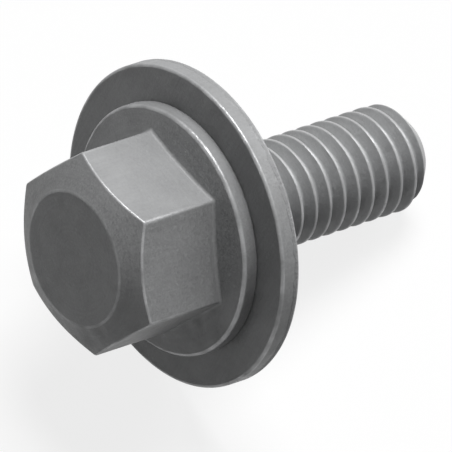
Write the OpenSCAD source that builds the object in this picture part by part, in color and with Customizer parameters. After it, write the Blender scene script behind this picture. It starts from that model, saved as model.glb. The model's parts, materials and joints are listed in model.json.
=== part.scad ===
// Flange bolt with a captive washer, lying as it comes to rest on a flat surface.
// The hexagon, the flange and the shank are one forged piece. The washer is slipped on
// before the thread is rolled: the thread is wider than the washer's hole, so the washer
// can't come off, and it turns freely on the plain neck under the flange.

/* [Head] */
// Width across the hexagon's flats
across_flats = 10; // [8:0.5:12]
// Round on the hexagon's six corner edges
hexagon_edge_r = 0.2; // [0.05:0.05:0.4]
// Height of the head, from its end face to the flange's bearing face
head_h = 7; // [5:0.1:9]
// Height of the end chamfer at the hexagon's corners
end_chamfer_h = 1; // [0.5:0.1:1.3]
// Angle between the end chamfer and the end face
end_chamfer_angle = 27; // [20:1:35]
// Round between the end chamfer and the end face
end_edge_r = 0.3; // [0.1:0.05:0.5]
// Turn of the hexagon about the bolt, from a corner that points straight up
hexagon_turn = 36.4; // [0:0.1:60]

/* [Flange] */
// Diameter of the flange
flange_d = 14; // [12:0.5:17]
// Height of the flange at its rim
flange_rim_h = 1; // [0.6:0.1:1.6]
// Slope of the flange's upper face, in degrees
flange_slope = 10.5; // [5:0.5:20]
// Round on the rim's two edges
flange_edge_r = 0.2; // [0.05:0.05:0.25]

/* [Washer] */
// Diameter of the washer
washer_d = 18; // [15:0.5:24]
// Thickness of the washer
washer_t = 1.2; // [1:0.1:2]
// Gap all round between the neck and the washer's hole
washer_play = 0.1; // [0.05:0.01:0.1]
// Round on the washer's outer edges
washer_edge_r = 0.15; // [0.05:0.05:0.25]
// Gap all round between the thread and the broken edges of the washer's hole
washer_mouth_play = 0.1; // [0.05:0.01:0.1]

/* [Shank] */
// Length of the shank, from the flange's bearing face to the tip
shank_l = 16; // [12:1:60]
// Outer diameter of the thread
thread_d = 6; // [5:0.1:7.5]
// Pitch of the thread
thread_pitch = 1; // [0.75:0.05:1]
// Length that the washer can slide along the neck
washer_slide = 0.6; // [0.3:0.1:1]
// Height of the tip's 45 degree chamfer
tip_chamfer_h = 1; // [0.6:0.1:1.3]
// Radius of the fillet between the flange and the neck
neck_fillet_r = 0.15; // [0.05:0.05:0.15]

/* [Hidden] */
$fn = 96;
steel_grey = [0.55, 0.56, 0.57];

// Turn from one corner of the hexagon to the next, in degrees
corner_turn = 60;
// Distance from the axis to the centres of the corner rounds, and to the corners
corner_centre_r = (across_flats / 2 - hexagon_edge_r) / cos(corner_turn / 2);
corner_r = corner_centre_r + hexagon_edge_r;
// Radius at which the planes of the end face and its chamfer meet, and the centre of the
// circle that touches both and rounds the edge between them
end_face_r = corner_r - end_chamfer_h / tan(end_chamfer_angle);
end_round_centre = [end_face_r - end_edge_r * tan(end_chamfer_angle / 2), head_h - end_edge_r];

flange_r = flange_d / 2;
washer_r = washer_d / 2;
thread_r = thread_d / 2;
tip_r = thread_r - tip_chamfer_h;

// Depth of a metric thread's pitch line below its crest, as a share of the pitch
pitch_line_depth = 0.325;
// A rolled thread grows from a blank of about its pitch diameter, which stays as the neck
neck_r = thread_r - pitch_line_depth * thread_pitch;
neck_l = washer_t + washer_slide;
washer_hole_r = neck_r + washer_play;
washer_mouth_r = thread_r + washer_mouth_play;
washer_hole_break = washer_mouth_r - washer_hole_r;

// Tilt at which the bolt lies: a straight line touches the washer's rounded lower edge
// and the shank's outer edge where the tip's chamfer starts
rim_centre = [washer_r - washer_edge_r, -washer_t + washer_edge_r];
foot = [thread_r, -shank_l + tip_chamfer_h];
rim_to_foot = rim_centre - foot;
tilt = atan2(rim_to_foot[0], rim_to_foot[1]) + asin(washer_edge_r / norm(rim_to_foot));

// Height of the bearing face's centre above the surface, and the two ends along X, which
// are on the lower side of the head's end round and on the upper edge of the tip
bearing_height = thread_r * cos(tilt) + (shank_l - tip_chamfer_h) * sin(tilt);
head_end_x = -end_round_centre[1] * cos(tilt) - end_round_centre[0] * sin(tilt) - end_edge_r;
tip_end_x = shank_l * cos(tilt) + tip_r * sin(tilt);

// Room that the cutting shapes take beyond what they cut
over = 1;
// Step along the hexagon's corner arcs, in degrees
corner_arc_step = 10;

// Lays a piece down. In its own frame the bolt's axis is Z, the head points up and the
// flange's bearing face is at height 0. Laid down, the origin is on the surface, under
// the middle of the whole length.
module lay_down() {
    translate([-(head_end_x + tip_end_x) / 2, 0, bearing_height])
        rotate([0, tilt - 90, 0])
            children();
}

// Half section of a flat disc from height 0 to h, with both outer edges rounded
module disc_section(r, h, edge_r) {
    square([r - edge_r, h]);
    translate([0, edge_r])
        square([r, h - 2 * edge_r]);
    for (z = [edge_r, h - edge_r])
        translate([r - edge_r, z])
            circle(edge_r);
}

// Half section under the cone that chamfers the hexagon's end, with its edge rounded
module end_cone_section() {
    polygon([
        [0, 0],
        [corner_r + over, 0],
        [corner_r + over, head_h - end_chamfer_h - over * tan(end_chamfer_angle)],
        end_round_centre + end_edge_r * [sin(end_chamfer_angle), cos(end_chamfer_angle)],
        [end_round_centre[0], head_h],
        [0, head_h]
    ]);
    translate(end_round_centre)
        circle(end_edge_r);
}

// Outline of the hexagon: each corner is an arc that the two flats run into
module hexagon_outline() {
    polygon([
        for (
            corner = [0:corner_turn:360 - corner_turn],
            swing = [-corner_turn / 2:corner_arc_step:corner_turn / 2]
        )
            corner_centre_r * [cos(corner), sin(corner)]
            + hexagon_edge_r * [cos(corner + swing), sin(corner + swing)]
    ]);
}

// Hexagon with its chamfered end. Its foot is inside the flange's rim
module hexagon() {
    foot_z = flange_rim_h / 2;
    intersection() {
        translate([0, 0, foot_z])
            rotate([0, 0, hexagon_turn])
                linear_extrude(head_h - foot_z)
                    hexagon_outline();
        rotate_extrude()
            end_cone_section();
    }
}

// Flange: a rim with rounded edges, and a low cone that rises to the hexagon
module flange() {
    rotate_extrude()
        disc_section(flange_r, flange_rim_h, flange_edge_r);
    cone_foot_r = flange_r - flange_edge_r;
    translate([0, 0, flange_rim_h])
        cylinder(h = cone_foot_r * tan(flange_slope), r1 = cone_foot_r, r2 = 0);
}

// Half section of the shank: fillet, plain neck, thread's outer cylinder, tip
module shank_section() {
    difference() {
        polygon([
            [0, over],
            [neck_r + neck_fillet_r, over],
            [neck_r + neck_fillet_r, -neck_fillet_r],
            [neck_r, -neck_fillet_r],
            [neck_r, -neck_l],
            [thread_r, -neck_l - (thread_r - neck_r)],
            [thread_r, -shank_l + tip_chamfer_h],
            [tip_r, -shank_l],
            [0, -shank_l]
        ]);
        translate([neck_r + neck_fillet_r, -neck_fillet_r])
            circle(neck_fillet_r);
    }
}

module bolt() {
    color(steel_grey)
        lay_down() {
            hexagon();
            flange();
            rotate_extrude()
                shank_section();
        }
}

// Half section of the washer's hole. Both of its edges are broken at 45 degrees, which
// clears the fillet under the flange and the thread's first turn
module washer_hole_section() {
    polygon([
        [0, over],
        [washer_mouth_r + over, over],
        [washer_hole_r, -washer_hole_break],
        [washer_hole_r, -washer_t + washer_hole_break],
        [washer_mouth_r + over, -washer_t - over],
        [0, -washer_t - over]
    ]);
}

module washer() {
    color(steel_grey)
        lay_down()
            rotate_extrude()
                difference() {
                    translate([0, -washer_t])
                        disc_section(washer_r, washer_t, washer_edge_r);
                    washer_hole_section();
                }
}

bolt();
washer();
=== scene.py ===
import json
import math

import bmesh
import bpy
from bpy.props import FloatProperty, FloatVectorProperty, IntProperty, PointerProperty
from bpy.types import Operator, Panel, PropertyGroup
from mathutils import Euler, Matrix, Vector

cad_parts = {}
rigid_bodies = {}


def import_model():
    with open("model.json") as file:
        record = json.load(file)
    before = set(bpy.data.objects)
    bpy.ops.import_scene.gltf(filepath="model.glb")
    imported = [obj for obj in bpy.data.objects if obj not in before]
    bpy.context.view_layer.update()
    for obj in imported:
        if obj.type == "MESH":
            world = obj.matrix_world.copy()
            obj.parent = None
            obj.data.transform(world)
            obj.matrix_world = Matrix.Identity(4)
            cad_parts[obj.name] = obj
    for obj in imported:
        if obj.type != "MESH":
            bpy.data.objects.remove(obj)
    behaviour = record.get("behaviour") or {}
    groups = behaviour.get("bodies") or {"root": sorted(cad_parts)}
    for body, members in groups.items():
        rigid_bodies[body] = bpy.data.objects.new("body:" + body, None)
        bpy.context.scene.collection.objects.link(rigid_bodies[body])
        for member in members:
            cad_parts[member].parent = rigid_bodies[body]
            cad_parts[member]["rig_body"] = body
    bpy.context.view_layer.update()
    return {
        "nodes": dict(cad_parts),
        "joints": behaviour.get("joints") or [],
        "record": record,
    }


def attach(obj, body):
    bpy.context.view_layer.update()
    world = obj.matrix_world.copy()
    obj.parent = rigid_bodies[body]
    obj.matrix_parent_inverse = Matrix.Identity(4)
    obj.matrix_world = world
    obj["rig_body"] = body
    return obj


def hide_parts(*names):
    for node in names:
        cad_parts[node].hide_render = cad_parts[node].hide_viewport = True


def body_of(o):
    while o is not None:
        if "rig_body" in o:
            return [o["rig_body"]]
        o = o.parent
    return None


bl_info = {
    "name": "Flange bolt with a captive washer",
    "version": (1, 0, 0),
    "blender": (4, 5, 0),
    "location": "View3D > Sidebar > Flange bolt",
    "description": "Makes a forged flange bolt with a rolled thread, its captive washer and a studio",
    "category": "Add Mesh",
}

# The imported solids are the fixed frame. The places and the main sizes come from them.
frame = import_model()
spin = next(joint for joint in frame["joints"] if joint["name"] == "washer_spin")
mounts = {mount["name"]: mount for mount in frame["record"]["mounts"]}

# The bolt's own frame: its axis is Z with the head up, its side is the Y of the row, and
# its origin is the middle of the flange's bearing face, on which the washer lies
HEAD_WAY = -Vector(spin["axis"]).normalized()
SIDE_WAY = Vector((0, 1, 0))
WASHER_T = 2 * (Vector(spin["pos_m"]) - Vector(mounts["bearing_face"]["pos_m"])).dot(HEAD_WAY)
SEAT = Vector(spin["pos_m"]) + HEAD_WAY * WASHER_T / 2
LAID = Matrix.Translation(SEAT) @ Matrix(
    (SIDE_WAY.cross(HEAD_WAY), SIDE_WAY, HEAD_WAY)
).transposed().to_4x4()


def reach(node, way):
    """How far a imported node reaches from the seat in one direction."""
    return max((vertex.co - SEAT).dot(way) for vertex in frame["nodes"][node].data.vertices)


MM = 0.001
TAU = 2 * math.pi
# Sides of the hexagon, and the turn from one to the next
SIDES = 6
SIDE_TURN = TAU / SIDES
# Points closer than this are one point
WELD = 0.001 * MM
# Share of a metric thread's pitch: half its crest, where the root's round starts, the
# round's radius, and the depth from the crest to the bottom of the root
HALF_CREST = 1 / 16
ROOT_START = 3 / 8
ROOT_ROUND = 0.1443
THREAD_DEPTH = 0.6134
FLANK_SLOPE = math.sqrt(3)
# What the mesh marks at its points: where the coat is rubbed, and where the die drew lines
MARKS = ("rubbed", "drawn")
# Numbers of a Mix node's two inputs and its output, whose names are the same for each kind
MIX_SOCKETS = {"FLOAT": (2, 3, 0), "VECTOR": (4, 5, 1), "RGBA": (6, 7, 2)}


def length(name, description, default, **limits):
    """A size in metres, as the panel shows it."""
    return FloatProperty(
        name=name, description=description, default=default, unit="LENGTH", precision=5, **limits
    )


def angle(name, description, degrees):
    """An angle, as the panel shows it."""
    return FloatProperty(
        name=name, description=description, default=math.radians(degrees), subtype="ANGLE"
    )


def colour(name, description, default):
    """A colour, as the panel shows it."""
    return FloatVectorProperty(
        name=name, description=description, default=default, subtype="COLOR", min=0, max=1
    )


class HeadSizes(PropertyGroup):
    """Sizes of the forged hexagon and the flange."""

    head_h: length("Head height", "From the bearing face to the end face", reach("bolt", HEAD_WAY))
    across_flats: length("Across flats", "Width of the hexagon across its flats", 10 * MM)
    hexagon_turn: angle("Hexagon turn", "From a corner that points straight up", 36.4)
    hexagon_edge_r: length("Hexagon edge round", "Round on the six corner edges", 0.2 * MM)
    end_chamfer_h: length("End chamfer height", "Height of the chamfer at the corners", 1 * MM)
    end_chamfer_angle: angle("End chamfer angle", "Between the chamfer and the end face", 27)
    end_edge_r: length("End edge round", "Round between the end face and the chamfer", 0.3 * MM)
    chamfer_edge_r: length("Chamfer edge round", "Round where the chamfer cuts a flat", 0.12 * MM)
    foot_fillet_r: length("Foot fillet", "Fillet between the hexagon and the flange", 0.2 * MM)
    flange_d: length("Flange diameter", "Diameter of the flange", 2 * reach("bolt", SIDE_WAY))
    flange_rim_h: length("Rim height", "Height of the flange where its rounded rim starts", 1 * MM)
    flange_slope: angle("Flange slope", "Slope of the flange's upper face", 10.5)
    flange_edge_r: length("Rim round", "Round on both edges of the rim", 0.2 * MM)


class ShankSizes(PropertyGroup):
    """Sizes of the neck, the rolled thread and the tip."""

    shank_l: length("Shank length", "From the bearing face to the tip", reach("bolt", -HEAD_WAY))
    thread_d: length("Thread diameter", "Over the crests", 2 * mounts["thread"]["dims"]["r_mm"] * MM)
    pitch: length("Pitch", "From one crest to the next", 1 * MM)
    neck_d: length("Neck diameter", "The rolled blank's diameter, plain under the flange", 5.35 * MM)
    neck_l: length("Neck length", "From the bearing face to where the thread starts", 1.8 * MM)
    neck_fillet_r: length("Neck fillet", "Fillet between the flange and the neck", 0.15 * MM)
    run_in: length("Run in", "Length over which the thread reaches its full depth", 1.1 * MM)
    tip_chamfer_h: length("Tip chamfer", "Height of the tip's 45 degree chamfer", 1 * MM)
    tip_edge_r: length("Tip edge round", "Round between the tip's chamfer and its end", 0.12 * MM)
    columns: IntProperty(name="Columns", description="Steps round the thread", default=96, min=24)
    rows: IntProperty(name="Rows", description="Steps along one pitch", default=32, min=16)


class WasherSizes(PropertyGroup):
    """Sizes of the stamped washer."""

    washer_d: length("Washer diameter", "Outer diameter", 2 * reach("washer", SIDE_WAY))
    washer_t: length("Washer thickness", "Thickness of the sheet", WASHER_T)
    hole_d: length("Hole diameter", "Hole that runs on the neck", 5.55 * MM)
    hole_break: length("Hole break", "45 degree break on both edges of the hole", 0.325 * MM)
    edge_r: length("Edge round", "Round on the outer edges", 0.15 * MM)
    columns: IntProperty(name="Columns", description="Steps round the washer", default=192, min=48)


class CoatSettings(PropertyGroup):
    """The matt zinc coat of both pieces."""

    bolt_colour: colour("Bolt colour", "Coat on the forged bolt", (0.32, 0.323, 0.327))
    washer_colour: colour("Washer colour", "Coat on the washer", (0.32, 0.323, 0.327))
    rubbed_colour: colour("Rubbed colour", "Coat where edges are rubbed bright", (0.5, 0.505, 0.51))
    mottle: FloatProperty(name="Mottle", description="How far its brightness varies", default=0.16)
    metal: FloatProperty(name="Metal", description="How metallic the coat is", default=0.12, min=0, max=1)
    roughness: FloatProperty(name="Roughness", description="Mean roughness", default=0.48, min=0, max=1)
    specular: FloatProperty(name="Specular", description="Strength of its gloss", default=0.3)


class StudioSettings(PropertyGroup):
    """Floor, lamps and camera."""

    floor_colour: colour("Floor colour", "Colour of the floor", (0.18, 0.18, 0.18))
    floor_lift: FloatProperty(name="Floor lift", description="What takes the floor to white", default=0.82)
    floor_w: length("Floor width", "Width of the square floor", 6.0)
    fill_level: FloatProperty(name="Fill level", description="Light from all round", default=0.04)
    key_level: FloatProperty(name="Key level", description="1 shows a colour as it is", default=0.95)
    key_spread: angle("Key spread", "Angle that the key lamp fills, for soft shadows", 28)
    key_azimuth: angle("Key azimuth", "Where the key lamp stands, as for the camera", 125)
    key_elevation: angle("Key elevation", "Height of the key lamp", 60)
    side_level: FloatProperty(name="Side level", description="1 shows a colour as it is", default=0.2)
    side_spread: angle("Side spread", "Angle that the side lamp fills, for soft shadows", 28)
    side_azimuth: angle("Side azimuth", "Where the side lamp stands, as for the camera", 87)
    side_elevation: angle("Side elevation", "Height of the side lamp", 31)
    azimuth: angle("Camera azimuth", "0 looks along +Y, and 90 along -X", -33.34)
    elevation: angle("Camera elevation", "Above the floor", 61.02)
    picture_w: length("Picture width", "What the camera takes in at the bolt", 24.16 * MM)
    picture_right: length("Picture right", "Picture's middle, right of the end face's middle", 8.123 * MM)
    picture_up: length("Picture up", "Picture's middle, above the end face's middle", 1.766 * MM)
    lens: FloatProperty(name="Lens", description="In millimetres, long as the picture is flat", default=1600)


def corner_centre_r(head):
    """Distance from the axis to the centres of the rounds on the hexagon's corner edges."""
    return (head.across_flats / 2 - head.hexagon_edge_r) / math.cos(SIDE_TURN / 2)


def hexagon_columns(head, steps_on_flat=18, steps_on_corner=6, hold=0.06 * MM):
    """Angle, distance from the axis and whether it is on a corner, for each column of the hexagon.

    A column near each end of a flat keeps the flat's shading flat.
    """
    apothem = head.across_flats / 2
    half_flat = (apothem - head.hexagon_edge_r) * math.tan(SIDE_TURN / 2)
    half_turn = math.atan(half_flat / apothem)
    turns = [half_turn * (2 * step / steps_on_flat - 1) for step in range(1, steps_on_flat)]
    along_flat = [hold - half_flat] + [apothem * math.tan(turn) for turn in turns] + [half_flat - hold]
    columns = []
    for side in range(SIDES):
        corner = head.hexagon_turn + SIDE_TURN * side
        for step in range(steps_on_corner + 1):
            swing = SIDE_TURN * (step / steps_on_corner - 0.5)
            x = corner_centre_r(head) + head.hexagon_edge_r * math.cos(swing)
            y = head.hexagon_edge_r * math.sin(swing)
            columns.append((corner + math.atan2(y, x), math.hypot(x, y), True))
        for along in along_flat:
            turn = corner + SIDE_TURN / 2 + math.atan2(along, apothem)
            columns.append((turn, math.hypot(along, apothem), False))
    return sorted((turn % TAU, far, on_corner) for turn, far, on_corner in columns)


def rounded_section(corners, hold=0.03 * MM):
    """Points of a section whose corners are rounded: distance from the axis, height, rubbing.

    A corner is its distance from the axis, height, round, steps on the round and rubbing.
    A point just off each end of a round keeps the shading of the straight stretch flat.
    """
    points = [(corners[0][0], corners[0][1], 0.0)]
    for before, corner, after in zip(corners, corners[1:], corners[2:]):
        at = Vector(corner[:2])
        back = (Vector(before[:2]) - at).normalized()
        on = (Vector(after[:2]) - at).normalized()
        half_gap = back.angle(on) / 2
        radius, steps, rubbed = corner[2:]
        start = at + back * radius / math.tan(half_gap)
        centre = at + (back + on).normalized() * radius / math.sin(half_gap)
        swing = (start - centre).angle_signed(at + on * (start - at).length - centre)
        points.append((*(start + back * hold), 0.0))
        for step in range(steps + 1):
            spoke = Matrix.Rotation(-swing * step / steps, 2) @ (start - centre)
            points.append((*(centre + spoke), rubbed))
        points.append((*(at + on * ((start - at).length + hold)), 0.0))
    points.append((corners[-1][0], corners[-1][1], 0.0))
    return points


def head_section(head, far, on_corner, ring_r):
    """Section of the head at one column, from the middle of its end face to a ring on its bearing
    face: distance from the axis, height and marks. Far is the hexagon's distance from the axis."""
    end_slope = math.tan(head.end_chamfer_angle)
    end_r = corner_centre_r(head) + head.hexagon_edge_r - head.end_chamfer_h / end_slope
    chamfer_z = head.head_h - (far - end_r) * end_slope
    flange_r = head.flange_d / 2
    slope = math.tan(head.flange_slope)
    cone_z = head.flange_rim_h + (flange_r - head.flange_edge_r) * slope
    points = rounded_section([
        (0, head.head_h),
        (end_r, head.head_h, head.end_edge_r, 5, 0.5),
        (far, chamfer_z, head.chamfer_edge_r, 4, 1.0),
        (far, cone_z - far * slope, head.foot_fillet_r, 6, 0.0),
        (flange_r, cone_z - flange_r * slope, head.flange_edge_r, 6, 1.0),
        (flange_r, 0, head.flange_edge_r, 6, 1.0),
        (ring_r, 0),
    ])
    foot_z = cone_z - far * slope + head.foot_fillet_r
    marked = []
    for r, z, rubbed in points:
        on_side = foot_z < z < chamfer_z
        marked.append((r, z, 1.0 if on_side and on_corner else rubbed, float(on_side)))
    return marked


def skin_round(shell, columns):
    """Skins sections, each at its own angle, all round the axis, and returns the rows of corners.

    A row on the axis is one corner. The values after a point's height are its marks.
    """
    layers = [shell.verts.layers.float[name] for name in MARKS]
    rows = []
    for row in zip(*[section for turn, section in columns]):
        on_axis = row[0][0] < WELD
        corners = []
        for (turn, section), (r, z, *marks) in zip(columns, row):
            corner = shell.verts.new((r * math.cos(turn), r * math.sin(turn), z))
            for layer, value in zip(layers, marks):
                corner[layer] = value
            corners.append(corner)
            if on_axis:
                break
        rows.append(corners)
    for upper, lower in zip(rows, rows[1:]):
        for i in range(len(columns)):
            j = (i + 1) % len(columns)
            if len(upper) == 1:
                shell.faces.new((upper[0], lower[i], lower[j]))
            elif len(lower) == 1:
                shell.faces.new((upper[i], lower[0], upper[j]))
            else:
                shell.faces.new((upper[i], lower[i], lower[j], upper[j]))
    return rows


def zip_rings(shell, outer, inner):
    """Fills the flat gap between two rings that have different numbers of corners.

    Both start near angle 0 and go round the same way.
    """
    i = j = 0
    while i < len(outer) or j < len(inner):
        if j == len(inner) or (i < len(outer) and (i + 1) / len(outer) <= (j + 1) / len(inner)):
            corners = (outer[i], inner[j % len(inner)], outer[(i + 1) % len(outer)])
            i += 1
        else:
            corners = (outer[i % len(outer)], inner[j], inner[(j + 1) % len(inner)])
            j += 1
        shell.faces.new(corners)


def even_turns(count):
    """Angles of columns at even steps."""
    return [TAU * i / count for i in range(count)]


def node_of(tree, kind, inputs=(), **settings):
    """Adds a node, sets it up and feeds its inputs with values or with other nodes' outputs."""
    node = tree.nodes.new(kind)
    for name, value in settings.items():
        setattr(node, name, value)
    for key, value in dict(inputs).items():
        if isinstance(value, bpy.types.NodeSocket):
            tree.links.new(value, node.inputs[key])
        else:
            node.inputs[key].default_value = value
    return node


def calc(tree, operation, *values):
    """Output of a Math node."""
    return node_of(tree, "ShaderNodeMath", enumerate(values), operation=operation).outputs[0]


def ramp(tree, value, from_min, from_max, to_min, to_max):
    """Output of a Map Range node, which stays at its end values outside the range."""
    inputs = {0: value, 1: from_min, 2: from_max, 3: to_min, 4: to_max}
    return node_of(tree, "ShaderNodeMapRange", inputs, clamp=True).outputs[0]


def geometry_tree(name, inputs):
    """A Geometry Nodes tree with named inputs. Returns it with its group input and its sockets."""
    tree = bpy.data.node_groups.new(name, "GeometryNodeTree")
    tree.interface.new_socket("Geometry", in_out="INPUT", socket_type="NodeSocketGeometry")
    sockets = {}
    for label, kind in inputs.items():
        sockets[label] = tree.interface.new_socket(label, in_out="INPUT", socket_type=kind)
    tree.interface.new_socket("Geometry", in_out="OUTPUT", socket_type="NodeSocketGeometry")
    return tree, tree.nodes.new("NodeGroupInput").outputs, sockets


def wrapped_grid(tree, columns, rows):
    """A grid to be wrapped round the axis. Returns its mesh, and each point's turn and row."""
    inputs = {
        "Size X": 1.0,
        "Size Y": 1.0,
        "Vertices X": calc(tree, "ADD", columns, 1),
        "Vertices Y": calc(tree, "ADD", rows, 1),
    }
    mesh = node_of(tree, "GeometryNodeMeshGrid", inputs).outputs["Mesh"]
    position = tree.nodes.new("GeometryNodeInputPosition").outputs[0]
    place = node_of(tree, "ShaderNodeSeparateXYZ", {0: position}).outputs
    turn = calc(tree, "SUBTRACT", 0.5, place["X"])
    row = calc(tree, "ROUND", calc(tree, "MULTIPLY", calc(tree, "ADD", place["Y"], 0.5), rows))
    return mesh, turn, row


def wrap(tree, mesh, turn, r, z, rubbing):
    """Moves a grid's points to their turn, distance from the axis and height."""
    whole = calc(tree, "MULTIPLY", turn, TAU)
    place = node_of(tree, "ShaderNodeCombineXYZ", {
        "X": calc(tree, "MULTIPLY", r, calc(tree, "COSINE", whole)),
        "Y": calc(tree, "MULTIPLY", r, calc(tree, "SINE", whole)),
        "Z": z,
    }).outputs[0]
    stored = node_of(
        tree, "GeometryNodeStoreNamedAttribute",
        {"Geometry": mesh, "Name": "rubbed", "Value": rubbing},
        data_type="FLOAT", domain="POINT",
    ).outputs[0]
    return node_of(tree, "GeometryNodeSetPosition", {"Geometry": stored, "Position": place}).outputs[0]


def close_tree(tree, geometry, material):
    """Welds the seams and ends a tree."""
    welded = node_of(tree, "GeometryNodeMergeByDistance", {"Geometry": geometry, "Distance": WELD})
    real = node_of(tree, "GeometryNodeRealizeInstances", {"Geometry": welded.outputs[0]})
    painted = node_of(
        tree, "GeometryNodeSetMaterial", {"Geometry": real.outputs[0], "Material": material}
    )
    tree.links.new(painted.outputs[0], tree.nodes.new("NodeGroupOutput").inputs[0])


def rolled_thread_tree():
    """Geometry Nodes tree that skins the shank from the neck to the tip with its thread.

    The rows of a grid follow the helix: a row drops by one pitch in one turn, so each row stays
    at one place on the thread's section. The neck, the run in and the tip's chamfer limit how
    far out and how far in the thread goes. What comes in is the rest of the bolt, which has the
    rings that the thread's two ends are welded to.
    """
    tree, given, sockets = geometry_tree("Rolled thread", {
        "Crest radius": "NodeSocketFloat",
        "Neck radius": "NodeSocketFloat",
        "Neck length": "NodeSocketFloat",
        "Pitch": "NodeSocketFloat",
        "Run in": "NodeSocketFloat",
        "Tip radius": "NodeSocketFloat",
        "Shank length": "NodeSocketFloat",
        "Start": "NodeSocketFloat",
        "End": "NodeSocketFloat",
        "Columns": "NodeSocketInt",
        "Rows per pitch": "NodeSocketInt",
        "Material": "NodeSocketMaterial",
    })
    crest, neck, pitch, neck_l = (
        given[label] for label in ("Crest radius", "Neck radius", "Pitch", "Neck length")
    )
    span = calc(tree, "SUBTRACT", given["End"], given["Start"])
    pitches = calc(tree, "ADD", calc(tree, "DIVIDE", span, pitch), 1)
    rows = calc(tree, "CEIL", calc(tree, "MULTIPLY", pitches, given["Rows per pitch"]))
    mesh, turn, row = wrapped_grid(tree, given["Columns"], rows)

    # How far down the shank each point is
    turns_down = calc(tree, "DIVIDE", row, given["Rows per pitch"])
    down = calc(tree, "MULTIPLY", calc(tree, "SUBTRACT", turns_down, turn), pitch)
    down = calc(tree, "ADD", given["Start"], down)
    down = calc(tree, "MINIMUM", calc(tree, "MAXIMUM", down, given["Start"]), given["End"])

    # The thread's section: flat crest, 60 degree groove, round root
    off_crest = calc(tree, "PINGPONG", turns_down, 0.5)
    on_flank = calc(tree, "MINIMUM", off_crest, ROOT_START)
    flank = calc(tree, "MULTIPLY", calc(tree, "SUBTRACT", on_flank, HALF_CREST), FLANK_SLOPE)
    off_root = calc(tree, "SUBTRACT", 0.5, calc(tree, "MAXIMUM", off_crest, ROOT_START))
    chord = calc(tree, "SUBTRACT", ROOT_ROUND ** 2, calc(tree, "MULTIPLY", off_root, off_root))
    root = calc(tree, "SUBTRACT", calc(tree, "SQRT", chord), ROOT_ROUND / 2)
    depth = calc(tree, "ADD", calc(tree, "MAXIMUM", flank, 0), root)
    threaded = calc(tree, "SUBTRACT", crest, calc(tree, "MULTIPLY", depth, pitch))

    # What limits it: the neck's shoulder, the run in and the tip's chamfer
    root_r = calc(tree, "SUBTRACT", crest, calc(tree, "MULTIPLY", pitch, THREAD_DEPTH))
    shoulder_end = calc(tree, "ADD", neck_l, calc(tree, "SUBTRACT", crest, neck))
    shoulder = ramp(tree, down, neck_l, shoulder_end, neck, crest)
    floor = ramp(tree, down, neck_l, calc(tree, "ADD", neck_l, given["Run in"]), neck, root_r)
    to_tip = calc(tree, "SUBTRACT", given["Shank length"], down)
    chamfer = calc(tree, "ADD", given["Tip radius"], to_tip)
    most = calc(tree, "MINIMUM", shoulder, chamfer)
    r = calc(tree, "MINIMUM", most, calc(tree, "MAXIMUM", threaded, floor))

    rubbed_from = calc(tree, "SUBTRACT", crest, 0.08 * MM)
    rubbing = ramp(tree, r, rubbed_from, crest, 0.0, 0.7)
    shank = wrap(tree, mesh, turn, r, calc(tree, "MULTIPLY", down, -1), rubbing)
    joined = tree.nodes.new("GeometryNodeJoinGeometry")
    for part in (shank, given["Geometry"]):
        tree.links.new(part, joined.inputs[0])
    close_tree(tree, joined.outputs[0], given["Material"])
    return tree, sockets


def turned_section_tree():
    """Geometry Nodes tree that turns a closed section, the points that come in, round the axis."""
    tree, given, sockets = geometry_tree("Turned section", {
        "Columns": "NodeSocketInt",
        "Material": "NodeSocketMaterial",
    })
    section = given["Geometry"]
    count = node_of(
        tree, "GeometryNodeAttributeDomainSize", {"Geometry": section}, component="MESH"
    ).outputs["Point Count"]
    mesh, turn, row = wrapped_grid(tree, given["Columns"], count)
    index = calc(tree, "MODULO", row, count)
    position = tree.nodes.new("GeometryNodeInputPosition").outputs[0]
    place = node_of(
        tree, "GeometryNodeSampleIndex",
        {"Geometry": section, "Value": position, "Index": index}, data_type="FLOAT_VECTOR",
    ).outputs[0]
    rubbed = node_of(
        tree, "GeometryNodeInputNamedAttribute", {"Name": "rubbed"}, data_type="FLOAT"
    ).outputs[0]
    rubbing = node_of(
        tree, "GeometryNodeSampleIndex",
        {"Geometry": section, "Value": rubbed, "Index": index}, data_type="FLOAT",
    ).outputs[0]
    place = node_of(tree, "ShaderNodeSeparateXYZ", {0: place}).outputs
    ring = wrap(tree, mesh, turn, place["X"], place["Z"], rubbing)
    close_tree(tree, ring, given["Material"])
    return tree, sockets


def mesh_from(shell, name):
    """Mesh object of a shell, which is freed."""
    mesh = bpy.data.meshes.new(name)
    shell.to_mesh(mesh)
    shell.free()
    made = bpy.data.objects.new(name, mesh)
    bpy.context.collection.objects.link(made)
    return made


def finish_piece(rough, tree, sockets, values, name, node):
    """Runs a tree on a rough object and lays the closed plain mesh down in place of a CAD node."""
    run = rough.modifiers.new(tree.name, "NODES")
    run.node_group = tree
    for label, value in values.items():
        run[sockets[label].identifier] = value
    depsgraph = bpy.context.evaluated_depsgraph_get()
    mesh = bpy.data.meshes.new_from_object(
        rough.evaluated_get(depsgraph), preserve_all_data_layers=True, depsgraph=depsgraph
    )
    bpy.data.objects.remove(rough)
    shell = bmesh.new()
    shell.from_mesh(mesh)
    bmesh.ops.recalc_face_normals(shell, faces=shell.faces)
    open_edges = sum(len(edge.link_faces) != 2 for edge in shell.edges)
    if open_edges:
        raise RuntimeError(f"{name} isn't closed: {open_edges} edges don't have two faces")
    for face in shell.faces:
        face.smooth = True
    shell.to_mesh(mesh)
    shell.free()
    mesh.transform(LAID)
    mesh.name = name
    piece = bpy.data.objects.new(name, mesh)
    bpy.context.collection.objects.link(piece)
    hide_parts(node)
    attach(piece, body_of(frame["nodes"][node])[0])
    return piece


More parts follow.
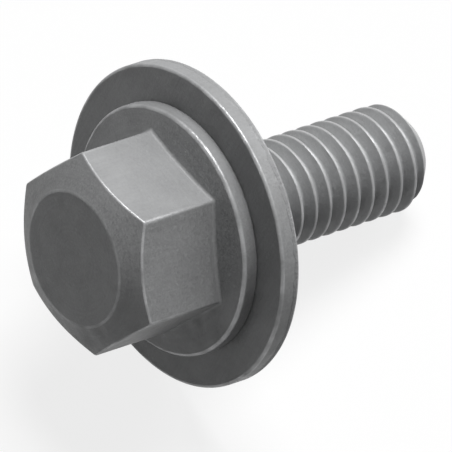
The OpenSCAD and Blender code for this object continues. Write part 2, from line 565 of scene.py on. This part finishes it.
def bolt_frame_coordinates(tree):
    """Coordinates in the bolt's own frame, in millimetres."""
    to_bolt = LAID.inverted()
    place = node_of(
        tree, "ShaderNodeMapping",
        {
            "Vector": tree.nodes.new("ShaderNodeTexCoord").outputs["Object"],
            "Location": to_bolt.translation / MM,
            "Rotation": to_bolt.to_euler(),
            "Scale": (1 / MM,) * 3,
        },
        vector_type="POINT",
    )
    return place.outputs[0]


def vector_calc(tree, operation, *values):
    """Output of a Vector Math node that gives a vector."""
    return node_of(tree, "ShaderNodeVectorMath", enumerate(values), operation=operation).outputs[0]


def noise(tree, place, per_mm, stretch=(1, 1, 1), detail=2.0):
    """Noise with a number of cells per millimetre. A stretch under 1 draws it out that way."""
    inputs = {
        "Vector": vector_calc(tree, "MULTIPLY", place, stretch), "Scale": per_mm, "Detail": detail,
    }
    return node_of(tree, "ShaderNodeTexNoise", inputs).outputs["Fac"]


def full_range(tree, fac):
    """Stretches a noise, which keeps near its middle, over 0 to 1."""
    return ramp(tree, fac, 0.3, 0.7, 0.0, 1.0)


def weigh(tree, shares):
    """Sum of values, each times its share."""
    total = 0.0
    for value, share in shares:
        total = calc(tree, "ADD", total, calc(tree, "MULTIPLY", value, share))
    return total


def mark(tree, name):
    """A mark that the mesh carries at each point."""
    attribute = tree.nodes.new("ShaderNodeAttribute")
    attribute.attribute_name = name
    return attribute.outputs["Fac"]


def past(tree, value, level, blend=0.05):
    """1 where a value is past a level and 0 before it, with a short blend across the level."""
    return ramp(tree, value, level - blend / 2, level + blend / 2, 0.0, 1.0)


def mix(tree, kind, share, first, second):
    """Output of a Mix node for numbers, vectors or colours."""
    first_in, second_in, out = MIX_SOCKETS[kind]
    inputs = {0: share, first_in: first, second_in: second}
    return node_of(tree, "ShaderNodeMix", inputs, data_type=kind).outputs[out]


def shade(tint, share):
    """A colour with its brightness scaled, with alpha."""
    return (*(min(1.0, channel * share) for channel in tint), 1.0)


def bump(tree, height, depth_mm, normal):
    """Normal of a bump of a depth in millimetres, on top of another normal."""
    inputs = {"Height": height, "Distance": depth_mm * MM, "Strength": 1.0, "Normal": normal}
    return node_of(tree, "ShaderNodeBump", inputs).outputs[0]


def zinc_flakes(tree, place, per_mm=11, tilt=0.14):
    """Flakes of zinc in the coat: a random value for each one, and its own slightly tilted normal."""
    flake = node_of(tree, "ShaderNodeTexVoronoi", {"Vector": place, "Scale": per_mm}).outputs["Color"]
    lean = vector_calc(tree, "MULTIPLY_ADD", flake, (tilt,) * 3, (-tilt / 2,) * 3)
    surface = tree.nodes.new("ShaderNodeNewGeometry").outputs["Normal"]
    normal = vector_calc(tree, "NORMALIZE", vector_calc(tree, "ADD", surface, lean))
    return node_of(tree, "ShaderNodeSeparateXYZ", {0: flake}).outputs["X"], normal


def coat_material(name, tint, coat, skin, **sizes):
    """Matt zinc coat: cloudy, flaky, and brighter and smoother where it is rubbed and burnished.

    What it lies on is the skin, a function that takes the piece's sizes in millimetres.
    """
    material = bpy.data.materials.new(name)
    material.use_nodes = True
    tree = material.node_tree
    tree.nodes.clear()
    place = bolt_frame_coordinates(tree)
    flake, flaky = zinc_flakes(tree, place)
    grain, burnished, torn, normal = skin(tree, place, flaky, **sizes)

    clouds = full_range(tree, noise(tree, place, 0.45, detail=3.0))
    speckle = full_range(tree, noise(tree, place, 6))
    tone = weigh(tree, ((clouds, 0.4), (speckle, 0.2), (flake, 0.15), (grain, 0.25)))
    plain = mix(tree, "RGBA", tone, shade(tint, 1 - coat.mottle), shade(tint, 1 + coat.mottle))

    patches = ramp(tree, noise(tree, place, 0.9, detail=4.0), 0.35, 0.65, 0.15, 0.5)
    worn = calc(tree, "MULTIPLY", mark(tree, "rubbed"), patches)
    bright = weigh(tree, ((worn, 1.0), (burnished, 0.5)))
    coloured = mix(tree, "RGBA", bright, plain, shade(coat.rubbed_colour, 1.0))

    cloudy = calc(tree, "SUBTRACT", noise(tree, place, 1.3), 0.5)
    roughness = weigh(tree, (
        (coat.roughness, 1.0), (cloudy, 0.3), (flake, 0.06), (torn, 0.12), (bright, -0.22),
    ))
    metallic = weigh(tree, ((coat.metal, 1.0), (worn, 0.8)))
    shader = node_of(tree, "ShaderNodeBsdfPrincipled", {
        "Base Color": coloured,
        "Metallic": metallic,
        "Roughness": roughness,
        "Normal": normal,
        "Specular IOR Level": coat.specular,
    })
    out = tree.nodes.new("ShaderNodeOutputMaterial")
    tree.links.new(shader.outputs[0], out.inputs["Surface"])
    return material


def from_axis(tree, place):
    """Distance from the bolt's axis, and depth below the bearing face."""
    x_y = vector_calc(tree, "MULTIPLY", place, (1, 1, 0))
    r = node_of(tree, "ShaderNodeVectorMath", {0: x_y}, operation="LENGTH").outputs["Value"]
    height = node_of(tree, "ShaderNodeSeparateXYZ", {0: place}).outputs["Z"]
    return r, calc(tree, "MULTIPLY", height, -1)


def forged_skin(tree, place, normal, pitch, shank_l):
    """Grain, where it is burnished or torn, and normal of cold forged and rolled steel.

    The turned die leaves rings on the head and draws lines along the flats. The rolls leave
    lines along the thread and burnish it, and the tip's end is sheared off rough.
    """
    r, depth = from_axis(tree, place)
    on_shank = past(tree, depth, 0.075)
    on_end = past(tree, depth, shank_l - 0.045)

    # On a circle that is one pitch round, the thread's lines meet where its turns do
    axes = node_of(tree, "ShaderNodeSeparateXYZ", {0: place}).outputs
    turn = calc(tree, "ARCTAN2", axes["Y"], axes["X"])
    phase = calc(tree, "MULTIPLY_ADD", axes["Z"], TAU / pitch, turn)
    ring = node_of(tree, "ShaderNodeCombineXYZ", {"X": r, "Y": axes["Z"]}).outputs[0]
    thread = node_of(tree, "ShaderNodeCombineXYZ", {
        "X": r,
        "Y": calc(tree, "MULTIPLY", calc(tree, "COSINE", phase), pitch / TAU),
        "Z": calc(tree, "MULTIPLY", calc(tree, "SINE", phase), pitch / TAU),
    }).outputs[0]
    row = mix(tree, "VECTOR", on_shank, ring, thread)

    peel = noise(tree, place, 1.1)
    rings = full_range(tree, noise(tree, row, 7, detail=3.0))
    lines = full_range(tree, noise(tree, place, 5, stretch=(1, 1, 0.04)))
    rough = noise(tree, place, 4, stretch=(0.3, 1, 1), detail=4.0)
    worked = mix(tree, "FLOAT", mark(tree, "drawn"), rings, lines)
    normal = bump(tree, peel, 0.02, normal)
    normal = bump(tree, worked, 0.0035, normal)
    normal = bump(tree, calc(tree, "MULTIPLY", rough, on_end), 0.06, normal)
    return worked, calc(tree, "SUBTRACT", on_shank, on_end), on_end, normal


def stamped_skin(tree, place, normal, washer_r, washer_t):
    """Grain, where it is burnished or torn, and normal of a stamped sheet.

    Both faces have straight rolling lines. The rim was sheared smooth down to its lower third,
    where it broke away rough, and the edge between the two is ragged.
    """
    r, depth = from_axis(tree, place)
    on_rim = past(tree, r, washer_r - 0.12, blend=0.04)
    sheared_to = 0.7 * washer_t
    ragged_by = 0.35
    ragged = calc(tree, "MULTIPLY_ADD", noise(tree, place, 1.6), -ragged_by, depth)
    torn = calc(
        tree, "MULTIPLY", on_rim, past(tree, ragged, sheared_to - ragged_by / 2, blend=0.07)
    )
    sheared = calc(tree, "SUBTRACT", on_rim, torn)

    rolled = full_range(tree, noise(tree, place, 6, stretch=(0.03, 1, 1), detail=3.0))
    streaks = full_range(tree, noise(tree, place, 6, stretch=(1, 1, 0.06)))
    worked = mix(tree, "FLOAT", on_rim, rolled, streaks)
    rough = calc(tree, "MULTIPLY", noise(tree, place, 6, detail=4.0), torn)
    normal = bump(tree, noise(tree, place, 1.1), 0.012, normal)
    normal = bump(tree, worked, 0.003, normal)
    normal = bump(tree, rough, 0.05, normal)
    return worked, calc(tree, "MULTIPLY", sheared, 0.12), torn, normal


def forge_head(shell, head, ring_r):
    """Skins the hexagon and the flange. Returns their last ring, on the bearing face."""
    columns = [
        (turn, head_section(head, far, on_corner, ring_r))
        for turn, far, on_corner in hexagon_columns(head)
    ]
    return skin_round(shell, columns)[-1]


def forge_neck(shell, shank, ring_r, neck_end):
    """Skins the fillet and the top of the neck. Returns their first ring, on the bearing face."""
    neck_r = shank.neck_d / 2
    neck = rounded_section([
        (ring_r, 0),
        (neck_r, 0, shank.neck_fillet_r, 5, 0.0),
        (neck_r, -neck_end),
    ])
    return skin_round(shell, [(turn, neck) for turn in even_turns(shank.columns)])[0]


def forge_tip(shell, shank, tip_r, thread_end):
    """Skins the tip's rounded edge and its end."""
    tip = rounded_section([
        (tip_r + shank.tip_edge_r, -thread_end),
        (tip_r, -shank.shank_l, shank.tip_edge_r, 5, 0.8),
        (0, -shank.shank_l),
    ])
    skin_round(shell, [(turn, tip) for turn in even_turns(shank.columns)])


class FLANGEBOLT_OT_bolt(Operator):
    """Forge the bolt: hexagon, flange, neck, rolled thread and tip in one piece"""

    bl_idname = "flangebolt.bolt"
    bl_label = "Forged bolt"

    def execute(self, context):
        head = context.scene.flange_bolt_head
        shank = context.scene.flange_bolt_shank
        coat = context.scene.flange_bolt_coat
        shell = bmesh.new()
        for name in MARKS:
            shell.verts.layers.float.new(name)

        # The rings on the bearing face, where head and neck are joined, are under the washer
        neck_r = shank.neck_d / 2
        head_ring = forge_head(shell, head, neck_r + 1.2 * MM)
        thread_start = shank.neck_fillet_r * 2
        neck_ring = forge_neck(shell, shank, neck_r + 0.8 * MM, thread_start)
        zip_rings(shell, head_ring, neck_ring)
        tip_r = shank.thread_d / 2 - shank.tip_chamfer_h
        thread_end = shank.shank_l - shank.tip_edge_r
        forge_tip(shell, shank, tip_r, thread_end)

        rough = mesh_from(shell, "head and tip")
        tree, sockets = rolled_thread_tree()
        coated = coat_material(
            "zinc on forged steel", coat.bolt_colour, coat, forged_skin,
            pitch=shank.pitch / MM, shank_l=shank.shank_l / MM,
        )
        finish_piece(
            rough, tree, sockets,
            {
                "Crest radius": shank.thread_d / 2,
                "Neck radius": neck_r,
                "Neck length": shank.neck_l,
                "Pitch": shank.pitch,
                "Run in": shank.run_in,
                "Tip radius": tip_r,
                "Shank length": shank.shank_l,
                "Start": thread_start,
                "End": thread_end,
                "Columns": shank.columns,
                "Rows per pitch": shank.rows,
                "Material": coated,
            },
            "forged_bolt", "bolt",
        )
        return {"FINISHED"}


class FLANGEBOLT_OT_washer(Operator):
    """Stamp the washer that turns on the neck"""

    bl_idname = "flangebolt.washer"
    bl_label = "Stamped washer"

    def execute(self, context):
        washer = context.scene.flange_bolt_washer
        coat = context.scene.flange_bolt_coat
        hole_r = washer.hole_d / 2
        mouth_r = hole_r + washer.hole_break
        outer_r = washer.washer_d / 2
        hole_edge_r = 0.05 * MM
        middle = (mouth_r + outer_r) / 2
        corners = [
            (middle, 0),
            (outer_r, 0, washer.edge_r, 5, 1.0),
            (outer_r, -washer.washer_t, washer.edge_r, 5, 1.0),
            (mouth_r, -washer.washer_t, hole_edge_r, 2, 0.5),
            (hole_r, washer.hole_break - washer.washer_t, hole_edge_r, 2, 0.2),
            (hole_r, -washer.hole_break, hole_edge_r, 2, 0.2),
            (mouth_r, 0, hole_edge_r, 2, 0.5),
            (middle, 0),
        ]
        shell = bmesh.new()
        rubbed = shell.verts.layers.float.new("rubbed")
        for r, z, rubbing in rounded_section(corners)[:-1]:
            shell.verts.new((r, 0, z))[rubbed] = rubbing
        rough = mesh_from(shell, "washer section")
        tree, sockets = turned_section_tree()
        coated = coat_material(
            "zinc on stamped steel", coat.washer_colour, coat, stamped_skin,
            washer_r=outer_r / MM, washer_t=washer.washer_t / MM,
        )
        finish_piece(
            rough, tree, sockets,
            {"Columns": washer.columns, "Material": coated},
            "stamped_washer", "washer",
        )
        return {"FINISHED"}


def way_to(azimuth, elevation):
    """Direction towards a camera or a lamp. At azimuth 0 it stands towards -Y, at 90 towards +X."""
    flat = math.cos(elevation)
    return Vector((math.sin(azimuth) * flat, -math.cos(azimuth) * flat, math.sin(elevation)))


def hang_lamp(name, way, level, spread):
    """A soft lamp so far off that it lights the whole floor evenly. At level 1, a face square to
    it shows its own colour."""
    lamp = bpy.data.lights.new(name, "SUN")
    lamp.angle = spread
    lamp.energy = level * math.pi
    hung = bpy.data.objects.new(name, lamp)
    hung.location = SEAT + way
    hung.rotation_euler = way.to_track_quat("Z", "Y").to_euler()
    bpy.context.collection.objects.link(hung)


def seen_rays(tree):
    """1 for the rays that show a background: to the camera, in gloss and through glass."""
    path = tree.nodes.new("ShaderNodeLightPath").outputs
    seen = calc(tree, "MAXIMUM", path["Is Camera Ray"], path["Is Glossy Ray"])
    return calc(tree, "MAXIMUM", seen, path["Is Transmission Ray"])


def floor_material(studio):
    """Pale floor that takes shadows. The rays that show it see it lifted to white."""
    material = bpy.data.materials.new("pale floor")
    material.use_nodes = True
    tree = material.node_tree
    tree.nodes.clear()
    matt = node_of(tree, "ShaderNodeBsdfDiffuse", {"Color": shade(studio.floor_colour, 1.0)})
    lift = calc(tree, "MULTIPLY", seen_rays(tree), studio.floor_lift)
    glow = node_of(tree, "ShaderNodeEmission", {"Strength": lift})
    both = node_of(tree, "ShaderNodeAddShader", {0: matt.outputs[0], 1: glow.outputs[0]})
    out = tree.nodes.new("ShaderNodeOutputMaterial")
    tree.links.new(both.outputs[0], out.inputs["Surface"])
    return material


def light_world(scene, level):
    """World that is white to the rays that show it, and a plain dim fill for the rest."""
    world = bpy.data.worlds.new("soft fill")
    world.use_nodes = True
    tree = world.node_tree
    strength = ramp(tree, seen_rays(tree), 0.0, 1.0, level, 1.0)
    background = tree.nodes["Background"]
    background.inputs["Color"].default_value = (1, 1, 1, 1)
    tree.links.new(strength, background.inputs["Strength"])
    scene.world = world


class FLANGEBOLT_OT_studio(Operator):
    """Lay the floor, hang the lamps and set up the camera"""

    bl_idname = "flangebolt.studio"
    bl_label = "Studio"

    def execute(self, context):
        scene = context.scene
        studio = scene.flange_bolt_studio
        scene.view_settings.view_transform = "Standard"

        half = studio.floor_w / 2
        mesh = bpy.data.meshes.new("floor")
        corners = [(-half, -half, 0), (half, -half, 0), (half, half, 0), (-half, half, 0)]
        mesh.from_pydata(corners, [], [(0, 1, 2, 3)])
        mesh.materials.append(floor_material(studio))
        floor = bpy.data.objects.new("floor", mesh)
        context.collection.objects.link(floor)

        light_world(scene, studio.fill_level)
        key_way = way_to(studio.key_azimuth, studio.key_elevation)
        side_way = way_to(studio.side_azimuth, studio.side_elevation)
        hang_lamp("key lamp", key_way, studio.key_level, studio.key_spread)
        hang_lamp("side lamp", side_way, studio.side_level, studio.side_spread)

        turn = Euler((math.pi / 2 - studio.elevation, 0, studio.azimuth)).to_matrix()
        right, up, back = turn.col
        middle = SEAT + HEAD_WAY * scene.flange_bolt_head.head_h
        middle = middle + right * studio.picture_right + up * studio.picture_up
        lens = bpy.data.cameras.new("camera")
        lens.lens = studio.lens
        lens.clip_end = 2 * studio.floor_w
        distance = studio.picture_w * studio.lens / lens.sensor_width
        camera = bpy.data.objects.new("camera", lens)
        camera.matrix_world = Matrix.Translation(middle + back * distance) @ turn.to_4x4()
        context.collection.objects.link(camera)
        scene.camera = camera
        return {"FINISHED"}


GROUPS = {
    "flange_bolt_head": HeadSizes,
    "flange_bolt_shank": ShankSizes,
    "flange_bolt_washer": WasherSizes,
    "flange_bolt_coat": CoatSettings,
    "flange_bolt_studio": StudioSettings,
}


class FLANGEBOLT_PT_sizes(Panel):
    """Sizes, colours and steps, in the order in which they are made"""

    bl_idname = "FLANGEBOLT_PT_sizes"
    bl_label = "Flange bolt"
    bl_space_type = "VIEW_3D"
    bl_region_type = "UI"
    bl_category = "Flange bolt"

    def draw(self, context):
        for name, kind in GROUPS.items():
            box = self.layout.box()
            for setting in kind.__annotations__:
                box.prop(getattr(context.scene, name), setting)
        for step in (FLANGEBOLT_OT_bolt, FLANGEBOLT_OT_washer, FLANGEBOLT_OT_studio):
            self.layout.operator(step.bl_idname)


CLASSES = (
    *GROUPS.values(),
    FLANGEBOLT_OT_bolt,
    FLANGEBOLT_OT_washer,
    FLANGEBOLT_OT_studio,
    FLANGEBOLT_PT_sizes,
)


def register():
    for kind in CLASSES:
        bpy.utils.register_class(kind)
    for name, kind in GROUPS.items():
        setattr(bpy.types.Scene, name, PointerProperty(type=kind))


def unregister():
    for name in GROUPS:
        delattr(bpy.types.Scene, name)
    for kind in reversed(CLASSES):
        bpy.utils.unregister_class(kind)


def main():
    register()
    bpy.ops.flangebolt.bolt()
    bpy.ops.flangebolt.washer()
    bpy.ops.flangebolt.studio()


if __name__ == "__main__":
    main()
